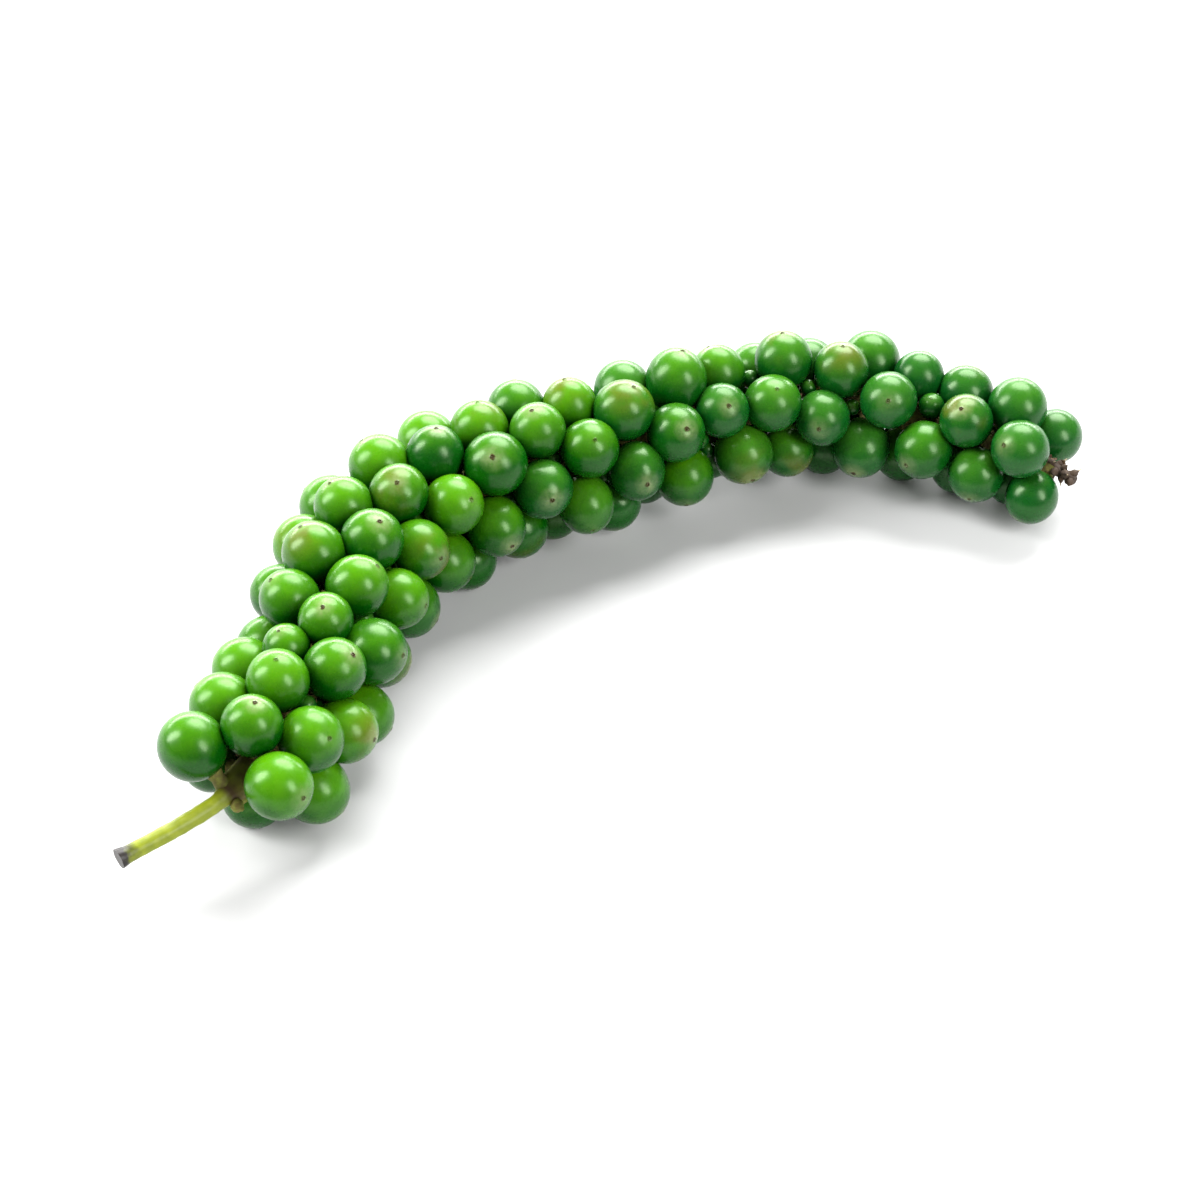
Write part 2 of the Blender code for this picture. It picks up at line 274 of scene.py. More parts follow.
def apply_modifier(obj, kind, **values):
    """Adds a modifier with these values and applies it."""
    modifier = obj.modifiers.new(kind.lower(), kind)
    for key, value in values.items():
        setattr(modifier, key, value)
    bpy.context.view_layer.objects.active = obj
    bpy.ops.object.modifier_apply(modifier=modifier.name)


def smooth(obj):
    bpy.ops.object.select_all(action="DESELECT")
    obj.select_set(True)
    bpy.context.view_layer.objects.active = obj
    bpy.ops.object.shade_smooth_by_angle(angle=SMOOTH_BELOW)


def join(name, pieces):
    """Joins the pieces into one object with its origin at the scene's."""
    bpy.ops.object.select_all(action="DESELECT")
    for piece in pieces:
        piece.select_set(True)
    bpy.context.view_layer.objects.active = pieces[0]
    bpy.ops.object.join()
    joined = bpy.context.object
    joined.name = name
    joined.data.name = name
    return joined


def copy_to(master, matrix):
    """A copy of the master with its own mesh, moved to its place in that mesh."""
    copy = master.copy()
    copy.data = master.data.copy()
    copy.data.transform(matrix)
    bpy.context.scene.collection.objects.link(copy)
    return copy


def remove(obj):
    bpy.data.objects.remove(obj)


def placing(place, outward, scale, spin=0.0):
    """The matrix that scales a mesh, spins it, turns its +Z outward and moves it to its place."""
    turn = Vector(outward).to_track_quat("Z", "Y").to_matrix().to_4x4()
    sized = Matrix.Rotation(spin, 4, "Z") @ Matrix.Diagonal((*scale, 1.0))
    return Matrix.Translation(place) @ turn @ sized


def mesh_points(mesh):
    points = np.empty(len(mesh.vertices) * 3, np.float32)
    mesh.vertices.foreach_get("co", points)
    return points.reshape(-1, 3)


def set_points(mesh, points):
    mesh.vertices.foreach_set("co", points.astype(np.float32).ravel())
    mesh.update()


def set_float(mesh, name, values):
    attribute = mesh.attributes.new(name, "FLOAT", "POINT")
    attribute.data.foreach_set("value", np.broadcast_to(values, len(mesh.vertices)).astype(np.float32))


def finish_piece(obj, material, node):
    obj.data.materials.clear()
    obj.data.materials.append(material)
    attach(obj, "root")
    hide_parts(node)


# Helpers for materials.
class Shading:
    """A new Principled material and short ways to add nodes to it."""

    def __init__(self, name, **values):
        self.material = bpy.data.materials.new(name)
        self.material.use_nodes = True
        self.tree = self.material.node_tree
        self.shader = self.tree.nodes["Principled BSDF"]
        for key, value in values.items():
            self.shader.inputs[key.replace("_", " ")].default_value = value
        self.place = self.add("ShaderNodeTexCoord").outputs["Object"]

    def add(self, kind, **values):
        node = self.tree.nodes.new(kind)
        for key, value in values.items():
            setattr(node, key, value)
        return node

    def link(self, source, target):
        self.tree.links.new(source, target)

    def attribute(self, name):
        return self.add("ShaderNodeAttribute", attribute_name=name).outputs["Fac"]

    def noise(self, scale, detail=3.0, roughness=0.5):
        node = self.add("ShaderNodeTexNoise")
        node.inputs["Scale"].default_value = scale
        node.inputs["Detail"].default_value = detail
        node.inputs["Roughness"].default_value = roughness
        self.link(self.place, node.inputs["Vector"])
        return node.outputs["Fac"]

    def span(self, source, low, high, to_low=0.0, to_high=1.0):
        """Maps low..high of the source to to_low..to_high, clamped."""
        node = self.add("ShaderNodeMapRange")
        for key, value in (("From Min", low), ("From Max", high), ("To Min", to_low), ("To Max", to_high)):
            node.inputs[key].default_value = value
        self.link(source, node.inputs["Value"])
        return node.outputs["Result"]

    def math(self, operation, first, second):
        node = self.add("ShaderNodeMath", operation=operation)
        self.link(first, node.inputs[0])
        self.link(second, node.inputs[1])
        return node.outputs[0]

    def mix(self, factor, first, second):
        """Mixes two colours, each a socket or a colour."""
        node = self.add("ShaderNodeMix", data_type="RGBA")
        self.link(factor, node.inputs["Factor"])
        for value, socket in ((first, node.inputs[6]), (second, node.inputs[7])):
            if isinstance(value, tuple):
                socket.default_value = (*value, 1.0)
            else:
                self.link(value, socket)
        return node.outputs[2]

    def bump(self, height, distance, strength):
        node = self.add("ShaderNodeBump")
        node.inputs["Strength"].default_value = strength
        node.inputs["Distance"].default_value = distance
        self.link(height, node.inputs["Height"])
        self.link(node.outputs["Normal"], self.shader.inputs["Normal"])

    def colour(self, source):
        self.link(source, self.shader.inputs["Base Color"])

    def roughness(self, source):
        self.link(source, self.shader.inputs["Roughness"])


# Finishes.
YOUNG_GREEN = (0.058, 0.215, 0.001)
DEEP_GREEN = (0.001, 0.062, 0.001)
COOL_GREEN = (0.004, 0.068, 0.014)
# The pale green round the scar is partly the skin's wax and partly painted sheen.
BLOOM_AND_SHEEN_GREEN = (0.235, 0.285, 0.130)
SUN_OLIVE = (0.100, 0.095, 0.010)
SCAR_BROWN = (0.045, 0.026, 0.010)
HIGHLIGHT_TINT = (0.75, 1.0, 0.62, 1.0)

# Most of a noise lies between these values. A grain is a noise's scale, in patches to the metre.
NOISE_BAND = (0.3, 0.7)

# Fruit skin. Distances from the apex are shares of the way round from the apex to the foot.
BERRY_SHINE = 0.35
FLESH_GLOW = 0.10
FLESH_SPREAD = (0.3, 1.0, 0.1)
FLESH_DEPTH = 0.7 * MM
MOTTLE_GRAIN = 700.0
MOTTLE = 0.12
# Painted light and shade: each berry is lighter at its apex and darker at its foot, by the stem and
# between the berries.
APEX_PAINTED_LIGHT = 0.10
FOOT_PAINTED_SHADE = -0.20
FOOT_FROM = 0.75
# Painted light and shade: the upper side of each berry is lighter and its underside darker.
TOP_PAINTED_LIGHT = 0.42
TOP_PAINTED_LIGHT_FULL = 0.95
PATCH_GRAIN = 330.0
PATCH_BAND = (0.42, 0.62)
PATCH_STRENGTH = 0.75
TAN_EDGE = 0.42
TAN_FULL = 0.10
# The pale patch round the scar: partly the skin's wax, partly painted sheen.
BLOOM_AND_SHEEN_GRAIN = 1500.0
BLOOM_AND_SHEEN_UNEVEN = (0.2, 0.8)
BLOOM_AND_SHEEN_EDGE = 0.165
BLOOM_AND_SHEEN_FULL = 0.040
SCAR_GRAIN = 3000.0
SCAR_RAGGED = 0.006
SCAR_EDGE = 0.034
SCAR_FULL = 0.024
FAINTEST_SCAR = 0.35
GLOSS_GRAIN = 1200.0
GLOSS_ROUGHNESS = (0.22, 0.32)
PORE_GRAIN = 900.0
PORE_DEPTH = 0.05 * MM
PORE_STRENGTH = 0.12


def berry_green(skin, apex):
    """The skin's green: lighter on a young berry, with painted light on top and by the apex, painted shade
    underneath and towards the foot, and tanned patches.
    """
    mottle = skin.span(skin.noise(MOTTLE_GRAIN), *NOISE_BAND, -MOTTLE, MOTTLE)
    # Painted light at the apex and painted shade towards the foot.
    apex_foot_painted_shade = skin.span(apex, 0.0, FOOT_FROM, APEX_PAINTED_LIGHT, FOOT_PAINTED_SHADE)
    # Painted light on each berry's upper side and painted shade on its underside, from the height on the
    # berry.
    painted_top_light = skin.span(skin.attribute("painted_top_light"), 0.0, TOP_PAINTED_LIGHT_FULL, -TOP_PAINTED_LIGHT, TOP_PAINTED_LIGHT)
    light = skin.math("ADD", skin.attribute("youth"), mottle)
    light = skin.math("ADD", light, skin.math("ADD", apex_foot_painted_shade, painted_top_light))
    green = skin.mix(skin.span(light, 0.0, 1.0), DEEP_GREEN, YOUNG_GREEN)
    green = skin.mix(skin.attribute("cool"), green, COOL_GREEN)
    patch = skin.span(skin.noise(PATCH_GRAIN, detail=2.0), *PATCH_BAND, 0.0, PATCH_STRENGTH)
    tan = skin.math("MULTIPLY", skin.attribute("tanned"), patch)
    tan = skin.math("MULTIPLY", tan, skin.span(apex, TAN_EDGE, TAN_FULL))
    return skin.mix(tan, green, SUN_OLIVE)


def berry_skin():
    """Glossy fruit skin: green that varies with the berry, and a brown scar in a pale patch on top, partly
    waxy skin and partly painted sheen.
    """
    skin = Shading(
        "berry_skin",
        Specular_IOR_Level=BERRY_SHINE,
        Specular_Tint=HIGHLIGHT_TINT,
        Subsurface_Weight=FLESH_GLOW,
        Subsurface_Radius=FLESH_SPREAD,
        Subsurface_Scale=FLESH_DEPTH,
    )
    apex = skin.attribute("apex")
    scarred = skin.attribute("scarred")
    # Painted sheen mixed with the skin's pale wax round the scar.
    uneven = skin.span(skin.noise(BLOOM_AND_SHEEN_GRAIN, roughness=0.6), *NOISE_BAND, *BLOOM_AND_SHEEN_UNEVEN)
    bloom_and_sheen = skin.math("MULTIPLY", skin.span(apex, BLOOM_AND_SHEEN_EDGE, BLOOM_AND_SHEEN_FULL), uneven)
    green = skin.mix(skin.math("MULTIPLY", bloom_and_sheen, scarred), berry_green(skin, apex), BLOOM_AND_SHEEN_GREEN)
    ragged = skin.span(skin.noise(SCAR_GRAIN, detail=2.0), *NOISE_BAND, -SCAR_RAGGED, SCAR_RAGGED)
    scar = skin.span(skin.math("ADD", apex, ragged), SCAR_EDGE, SCAR_FULL)
    scar = skin.math("MULTIPLY", scar, skin.span(scarred, 0.0, 1.0, FAINTEST_SCAR, 1.0))
    skin.colour(skin.mix(scar, green, SCAR_BROWN))
    skin.roughness(skin.span(skin.noise(GLOSS_GRAIN), *NOISE_BAND, *GLOSS_ROUGHNESS))
    skin.bump(skin.noise(PORE_GRAIN, roughness=0.6), PORE_DEPTH, PORE_STRENGTH)
    return skin.material


STALK_LIME = (0.230, 0.270, 0.008)
STALK_SHADE = (0.175, 0.215, 0.006)
RACHIS_OLIVE = (0.170, 0.180, 0.020)
RACHIS_BROWN = (0.100, 0.060, 0.020)
CUT_BROWN = (0.014, 0.010, 0.008)
TIP_BROWN = (0.040, 0.024, 0.014)

# Stem skin, with the distances along the stem where its finish changes.
STEM_SHINE = 0.35
STREAK_GRAIN = 1100.0
STREAK_BAND = (0.35, 0.65)
BLOTCH_GRAIN = 520.0
BLOTCH_BAND = (0.40, 0.62)
OLIVE_FROM = JOINT_AT - 1.2 * MM
OLIVE_FULL = FRUIT_FROM + 0.8 * MM
CUT_GRAIN = 900.0
CUT_WANDER = 0.5 * MM
CUT_FULL = 0.5 * MM
CUT_EDGE = 1.6 * MM
RING_FROM = JOINT_AT - 0.5 * MM
RING_FADES = JOINT_AT + 0.2 * MM
RING_ENDS = JOINT_AT + 0.7 * MM
TIP_DARKENS = (108.0 * MM, 113.0 * MM)
STALK_ROUGHNESS = 0.42
RACHIS_ROUGHNESS = 0.72
BARK_GRAIN = 1600.0
BARK_DEPTH = 0.08 * MM
BARK_STRENGTH = 0.5


def stem_skin():
    """The stalk's waxy lime, the rachis's olive and the dark cut end and tip."""
    skin = Shading("stem_skin", Specular_IOR_Level=STEM_SHINE)
    along = skin.attribute("along")
    streak = skin.span(skin.noise(STREAK_GRAIN, detail=4.0), *STREAK_BAND)
    stalk = skin.mix(streak, STALK_LIME, STALK_SHADE)
    blotch = skin.span(skin.noise(BLOTCH_GRAIN, detail=4.0, roughness=0.6), *BLOTCH_BAND)
    rachis = skin.mix(blotch, RACHIS_OLIVE, RACHIS_BROWN)
    body = skin.mix(skin.span(along, OLIVE_FROM, OLIVE_FULL), stalk, rachis)
    wander = skin.span(skin.noise(CUT_GRAIN, detail=2.0), *NOISE_BAND, -CUT_WANDER, CUT_WANDER)
    cut = skin.span(skin.math("ADD", along, wander), CUT_EDGE, CUT_FULL)
    body = skin.mix(cut, body, CUT_BROWN)
    ring_start = skin.span(along, RING_FROM, JOINT_AT)
    ring_end = skin.span(along, RING_ENDS, RING_FADES)
    body = skin.mix(skin.math("MULTIPLY", ring_start, ring_end), body, RACHIS_BROWN)
    skin.colour(skin.mix(skin.span(along, *TIP_DARKENS), body, TIP_BROWN))
    skin.roughness(skin.span(along, JOINT_AT, FRUIT_FROM, STALK_ROUGHNESS, RACHIS_ROUGHNESS))
    skin.bump(skin.noise(BARK_GRAIN, detail=4.0, roughness=0.65), BARK_DEPTH, BARK_STRENGTH)
    return skin.material


# Each dried finish: its light and its dark colour.
CUSHION_COLOURS = ((0.19, 0.20, 0.03), (0.11, 0.08, 0.02))
FRUITLET_COLOURS = ((0.22, 0.25, 0.03), (0.15, 0.12, 0.02))
BRACT_COLOURS = ((0.16, 0.09, 0.03), (0.06, 0.03, 0.015))
TIP_COLOURS = ((0.07, 0.04, 0.02), TIP_BROWN)
STIGMA_COLOURS = ((0.520, 0.430, 0.280), RACHIS_BROWN)

DRY_ROUGHNESS = 0.8
DRY_GRAIN = 1500.0
DRY_BAND = (0.35, 0.65)
WRINKLE_GRAIN = 1.4 * DRY_GRAIN
WRINKLE_DEPTH = 0.1 * MM
WRINKLE_STRENGTH = 0.6


def dry_skin(name, light, dark):
    """Dull dried tissue that mottles between two colours."""
    skin = Shading(name, Roughness=DRY_ROUGHNESS)
    mottle = skin.span(skin.noise(DRY_GRAIN, detail=4.0, roughness=0.6), *DRY_BAND)
    skin.colour(skin.mix(mottle, light, dark))
    skin.bump(skin.noise(WRINKLE_GRAIN, detail=4.0, roughness=0.7), WRINKLE_DEPTH, WRINKLE_STRENGTH)
    return skin.material


# Berries.
BERRY_SEGMENTS = 32
BERRY_RINGS = 20
BERRY_ROWS = 8
APEX_LEAN = 0.14
UNEVEN = 0.018
SWELL = 1.015
HALO_INSET = 0.055
SCAR_INSET = 0.035
PIT_INSET = 0.03
SCAR_RISE = 0.012
PIT_DEPTH = -0.035
NUB_RISE = 0.03
LOOK_SEED = 21

# How the berries' looks change from the joint, where the share is 0, to the tip, where it is 1.
YOUTH_AT_JOINT = 0.50
YOUTH_LOST = 0.26
YOUTH_SLACK = 0.19
COOL_FROM = 0.45
COOL_SLACK = 0.14
COOLEST = 0.75
TANNED_SHARE = 0.16
SCARRED = (0.1, 1.0)


def model_berry(segments, rings):
    """One berry of radius 1 with its apex at +Z, where the stigma left a raised ring round a pit."""
    bpy.ops.mesh.primitive_uv_sphere_add(segments=segments, ring_count=rings, radius=1.0)
    berry = bpy.context.object
    cap = math.cos(math.pi / rings)
    edit(berry)
    select_faces(berry, lambda face: face.center.z > cap)
    for inset, rise in ((HALO_INSET, 0.0), (SCAR_INSET, SCAR_RISE), (PIT_INSET, PIT_DEPTH)):
        bpy.ops.mesh.inset(thickness=inset)
        bpy.ops.transform.translate(value=(0, 0, rise))
    leave_edit()
    points = mesh_points(berry.data)
    from_axis = np.hypot(points[:, 0], points[:, 1])
    top = np.where(points[:, 2] > 0, from_axis, 1.0).argmin()
    points[top, 2] += NUB_RISE
    set_points(berry.data, points)
    set_float(berry.data, "apex", np.arctan2(from_axis, points[:, 2]) / math.pi)
    smooth(berry)
    return berry


def place_berry(master, place, apex, scale, random, **look):
    """A copy of the berry at its place, flattened where it rests on the table, with its own look."""
    berry = copy_to(master, placing(place, apex, scale, random.uniform(0, math.tau)))
    points = mesh_points(berry.data)
    points[:, 2] = np.maximum(points[:, 2], 0)
    set_points(berry.data, points)
    # The height on the berry, which paints light on its upper side and shade on its underside.
    set_float(berry.data, "painted_top_light", (points[:, 2] - place[2]) / max(scale))
    for name, value in look.items():
        set_float(berry.data, name, value)
    return berry


def make_berries(centre, radius, outward, share, material):
    """The berries, gathered in eight pieces, each with every eighth berry of the spiral."""
    random = np.random.default_rng(LOOK_SEED)
    master = model_berry(BERRY_SEGMENTS, BERRY_RINGS)
    rows = [[] for _ in range(BERRY_ROWS)]
    for index, (place, size, out, part) in enumerate(zip(centre, radius, outward, share)):
        apex = out + random.normal(0, APEX_LEAN, 3)
        scale = size * (SWELL + random.normal(0, UNEVEN, 3)) * (1, 1, BERRY_LENGTHENING)
        youth = YOUTH_AT_JOINT - YOUTH_LOST * part + random.normal(0, YOUTH_SLACK)
        berry = place_berry(
            master, place, apex, scale, random,
            youth=np.clip(youth, 0, 1),
            cool=np.clip(part - COOL_FROM + random.normal(0, COOL_SLACK), 0, COOLEST),
            tanned=float(random.random() < TANNED_SHARE),
            scarred=random.uniform(*SCARRED),
        )
        rows[index % BERRY_ROWS].append(berry)
    remove(master)
    for number, row in enumerate(rows, 1):
        finish_piece(join(f"berry_row_{number}", row), material, "berries")


ROOM_STEP = 0.5 * MM
ROOM_TURNS = 30
ROOM_REACHES = np.linspace(2.9, 3.7, 4) * MM
ROOM_ENDS_BEFORE_TIP = 9.0 * MM
SMALLEST_ROOM = 0.75 * MM
LARGEST_STUNTED = 1.25 * MM
STUNTED_STALK = 0.6
STUNTED_SEGMENTS = 20
STUNTED_RINGS = 14
# Stunted berries are kept darker green than the others: painted shade for the gaps they fill.
STUNTED_YOUTH_PAINTED_SHADE = (0, 0.35)
STUNTED_LOOK = {"cool": 0.3, "tanned": 0.0, "scarred": 0.2}


def find_room(line, along, centre, radius):
    """Where a stunted berry fits between the others: its root on the stem, its middle and radius."""
    _, side, over = directions(line)
    at = np.arange(FRUIT_FROM + BARE_UNDERNEATH, along[-1] - ROOM_ENDS_BEFORE_TIP, ROOM_STEP)
    near = (at / LINE_STEP).astype(int)
    turn = np.linspace(0, math.tau, ROOM_TURNS, endpoint=False)[:, None]
    out = np.cos(turn) * side[near][:, None] + np.sin(turn) * over[near][:, None]
    places = line[near][:, None, None] + out[:, :, None] * ROOM_REACHES[:, None]
    places = places.reshape(-1, 3)
    roots = np.repeat(line[near], ROOM_TURNS * len(ROOM_REACHES), axis=0)
    room = (np.linalg.norm(places[:, None] - centre[None], axis=2) - radius).min(axis=1)
    room = np.minimum(room, places[:, 2])
    rooms = []
    while room.max() > SMALLEST_ROOM:
        best = room.argmax()
        size = min(room[best], LARGEST_STUNTED)
        rooms.append((roots[best], places[best], size))
        room = np.minimum(room, np.linalg.norm(places - places[best], axis=1) - size)
    return rooms


def make_stunted_berries(rooms, skin, stalk_skin):
    """Berries that stayed small, in the room that the others leave, each on a stalk of its own."""
    random = np.random.default_rng(LOOK_SEED + 4)
    master, seat = model_berry(STUNTED_SEGMENTS, STUNTED_RINGS), model_cushion()
    berries, stalks = [], []
    for root, place, size in rooms:
        out = place - root
        scale = np.full(3, size)
        # Darker green than the other berries: painted shade in the gaps.
        youth = random.uniform(*STUNTED_YOUTH_PAINTED_SHADE)
        berries.append(place_berry(master, place, out, scale, random, youth=youth, **STUNTED_LOOK))
        stalk = placing(root, out, (STUNTED_STALK, STUNTED_STALK, np.linalg.norm(out)))
        stalks.append(copy_to(seat, stalk))
    remove(master)
    remove(seat)
    finish_piece(join("stunted_berries", berries), skin, "berries")
    finish_piece(join("stunted_berry_stalks", stalks), stalk_skin, "stem")


# Stem.
STEM_SIDES = 4
MERGE = 0.001 * MM
CUT_REACH = 0.1 * MM
CUT_RIM = 0.28 * MM
CUT_HOLLOW = 0.25 * MM
CLOUD_SIZE = 0.9 * MM
STEM_RELIEF = 0.16 * MM


def make_stem(line, along, material):
    """The stalk, joint, rachis and tip as one tube with an uneven skin and a hollow cut end."""
    bpy.ops.curve.primitive_bezier_curve_add()
    tube = bpy.context.object
    curve = tube.data
    curve.splines.clear()
    curve.dimensions = "3D"
    curve.bevel_depth = 1.0
    curve.bevel_resolution = STEM_SIDES
    curve.use_fill_caps = True
    spline = curve.splines.new("POLY")
    spline.points.add(len(line) - 1)
    for point, place, radius in zip(spline.points, line, stem_radii(along, along[-1])):
        point.co = (*place, 1.0)
        point.radius = radius
    bpy.ops.object.convert(target="MESH")
    tube = bpy.context.object
    start = Vector(line[0])
    edit(tube)
    bpy.ops.mesh.select_all(action="SELECT")
    bpy.ops.mesh.remove_doubles(threshold=MERGE)
    bpy.ops.mesh.normals_make_consistent(inside=False)
    select_faces(tube, lambda face: (face.center - start).length < CUT_REACH and len(face.vertices) > 4)
    bpy.ops.mesh.inset(thickness=CUT_RIM)
    into = Vector(line[2] - line[0]).normalized() * CUT_HOLLOW
    bpy.ops.transform.translate(value=into)
    bpy.ops.mesh.poke()
    leave_edit()
    relief = bpy.data.textures.new("stem_relief", "CLOUDS")
    relief.noise_scale = CLOUD_SIZE
    apply_modifier(tube, "DISPLACE", texture=relief, strength=STEM_RELIEF, mid_level=0.5)
    points = mesh_points(tube.data)
    nearest = np.linalg.norm(points[:, None] - line[None], axis=2).argmin(axis=1)
    set_float(tube.data, "along", along[nearest])
    tube.name = "stalk_and_rachis"
    smooth(tube)
    finish_piece(tube, material, "stem")


# A cushion's radii are real sizes. Its heights are shares of its own height, which its copies set.
CUSHION_SIDES = 14
CUSHION_FOOT = 0.95 * MM
CUSHION_WAIST = 0.62 * MM
WAIST_AT = 0.7
CUP_FLARE = 1.35
CUP_RIM = 0.15 * MM
CUP_DEPTH = 0.12
SEAT_INSIDE_BERRY = 0.93


def model_cushion():
    """A berry's seat, of height 1: a foot that narrows to a waist and opens to a shallow cup."""
    bpy.ops.mesh.primitive_cone_add(
        vertices=CUSHION_SIDES,
        radius1=CUSHION_FOOT,
        radius2=CUSHION_WAIST,
        depth=WAIST_AT,
        location=(0, 0, WAIST_AT / 2),
    )
    cushion = bpy.context.object
    bpy.ops.object.transform_apply(location=True, rotation=False, scale=False)
    edit(cushion)
    select_faces(cushion, lambda face: face.normal.z > 0.9)
    bpy.ops.mesh.extrude_region_move(TRANSFORM_OT_translate={"value": (0, 0, 1.0 - WAIST_AT)})
    bpy.ops.transform.resize(value=(CUP_FLARE, CUP_FLARE, 1.0))
    bpy.ops.mesh.inset(thickness=CUP_RIM)
    bpy.ops.transform.translate(value=(0, 0, -CUP_DEPTH))
    leave_edit()
    smooth(cushion)
    return cushion


def make_cushions(line, foot, centre, radius, outward, material):
    """A cushion under each berry, just long enough to run into it."""
    master = model_cushion()
    cushions = []
    for place, index, size, out in zip(centre, foot, radius, outward):
        height = np.linalg.norm(place - line[index]) - SEAT_INSIDE_BERRY * size
        cushions.append(copy_to(master, placing(line[index], out, (1, 1, height))))
    remove(master)
    finish_piece(join("berry_cushions", cushions), material, "stem")


BEAK_FROM = 0.9
BEAK_LENGTH = 0.35
BEAK_TAPER = (0.5, 0.5, 0.6)
CRUMPLE_SIZE = 0.6
CRUMPLE = 0.35
FRUITLET_SCALE = (0.85, 1.1)


def model_fruitlet():
    """A berry that never grew: radius 1, pinched towards its tip and a little crumpled."""
    bpy.ops.mesh.primitive_ico_sphere_add(subdivisions=3, radius=1.0)
    fruitlet = bpy.context.object
    edit(fruitlet)
    select_faces(fruitlet, lambda face: face.center.z > BEAK_FROM)
    bpy.ops.mesh.extrude_region_move(TRANSFORM_OT_translate={"value": (0, 0, BEAK_LENGTH)})
    bpy.ops.transform.resize(value=BEAK_TAPER)
    leave_edit()
    crumple = bpy.data.textures.new("crumple", "CLOUDS")
    crumple.noise_scale = CRUMPLE_SIZE
    apply_modifier(fruitlet, "DISPLACE", texture=crumple, strength=CRUMPLE, mid_level=0.5)
    smooth(fruitlet)
    return fruitlet


def make_fruitlets(line, fruitlets, material):
    """A fruitlet on the stem wherever a flower set no berry."""
    random = np.random.default_rng(LOOK_SEED + 1)
    master = model_fruitlet()
    copies = []
    for place in fruitlets:
        out = place - line[np.linalg.norm(line - place, axis=1).argmin()]
        scale = FRUITLET_RADIUS * random.uniform(*FRUITLET_SCALE)
        copies.append(copy_to(master, placing(place, out, [scale] * 3, random.uniform(0, math.tau))))
    remove(master)
    finish_piece(join("unset_fruitlets", copies), material, "stem")


BRACT_COUNT = 150
BRACT_LENGTH = 1.0 * MM
BRACT_WIDTH = 0.75
BRACT_POINT = 3.2
BRACT_CUPPING = 0.5
BRACT_CURL = 0.45
BRACT_THICKNESS = 0.08 * MM
BRACT_SCALE = (0.5, 0.95)
BRACT_LEAN = 0.35
BRACT_LIFT = 0.05 * MM
BRACTS_FROM = JOINT_AT + 0.8 * MM
BRACTS_END_BEFORE_TIP = 1.5 * MM


def model_bract():
    """A dried bract: a thin curled scale about 1 mm long."""
    bpy.ops.mesh.primitive_grid_add(x_subdivisions=4, y_subdivisions=6, size=BRACT_LENGTH)
    bract = bpy.context.object
    points = mesh_points(bract.data)
    x, y = points[:, 0] / MM, points[:, 1] / MM
    points[:, 0] *= BRACT_WIDTH * np.sqrt(np.clip(1.1 - BRACT_POINT * y * y, 0.08, 1))
    points[:, 2] += (BRACT_CUPPING * x * x + BRACT_CURL * (y + 0.5) ** 2) * MM
    set_points(bract.data, points)
    apply_modifier(bract, "SOLIDIFY", thickness=BRACT_THICKNESS, offset=0.0)
    apply_modifier(bract, "SUBSURF", levels=1, render_levels=1)
    smooth(bract)
    return bract


def make_bracts(line, along, material):
    """Dried bracts along the rachis, between the cushions."""
    random = np.random.default_rng(LOOK_SEED + 2)
    _, side, over = directions(line)
    master = model_bract()
    bracts = []
    for _ in range(BRACT_COUNT):
        at = random.uniform(BRACTS_FROM, along[-1] - BRACTS_END_BEFORE_TIP)
        near = int(at / LINE_STEP)
        turn = random.uniform(0, math.tau)
        out = math.cos(turn) * side[near] + math.sin(turn) * over[near]
        place = line[near] + out * (stem_radii(at, along[-1]) + BRACT_LIFT)
        size = random.uniform(*BRACT_SCALE)
        lean = out + random.normal(0, BRACT_LEAN, 3)
        bracts.append(copy_to(master, placing(place, lean, [size] * 3, random.uniform(0, math.tau))))
    remove(master)
    finish_piece(join("dried_bracts", bracts), material, "stem")


TIP_BEADS = 13
TIP_LENGTH = 3.0 * MM
FIRST_BEAD = 0.3
BEAD_LEAN = (0.2, 0.9)
BEAD_RADIUS = (0.30, 0.46)
BEAD_LENGTHENING = 1.3
POINT_RADIUS = 0.12 * MM
POINT_END_RADIUS = 0.03 * MM
POINT_LENGTH = 0.5 * MM
POINT_REACH = 1.7


def model_stigma_point():
    """The dried point that a flower's stigma leaves: a slim cone along +Z."""
    bpy.ops.mesh.primitive_cone_add(
        vertices=8, radius1=POINT_RADIUS, radius2=POINT_END_RADIUS, depth=POINT_LENGTH
    )
    point = bpy.context.object
    edit(point)
    bpy.ops.mesh.select_all(action="SELECT")
    bpy.ops.mesh.subdivide(number_cuts=1)
    leave_edit()
    return point


def make_tip(line, along, dark, pale):
    """The withered end: shrivelled flowers crowded on the last stretch, with pale stigma points."""
    random = np.random.default_rng(LOOK_SEED + 3)
    ahead, side, over = directions(line)
    bead, point = model_fruitlet(), model_stigma_point()
    beads, points = [], []
    for order in range(TIP_BEADS):
        at = along[-1] - TIP_LENGTH * (order + FIRST_BEAD) / TIP_BEADS
        near = min(int(at / LINE_STEP), len(line) - 1)
        turn = TURN_PER_SITE * order
        out = math.cos(turn) * side[near] + math.sin(turn) * over[near]
        lean = out + ahead[near] * random.uniform(*BEAD_LEAN)
        size = random.uniform(*BEAD_RADIUS) * MM
        place = line[near] + out * stem_radii(at, along[-1])
        scale = (size, size, BEAD_LENGTHENING * size)
        beads.append(copy_to(bead, placing(place, lean, scale, random.uniform(0, math.tau))))
        if order % 2:
            end = Vector(place) + Vector(lean).normalized() * POINT_REACH * size
            points.append(copy_to(point, placing(end, lean, (1, 1, 1))))
    remove(bead)
    remove(point)
    finish_piece(join("withered_tip", beads), dark, "stem")
    finish_piece(join("stigma_points", points), pale, "stem")


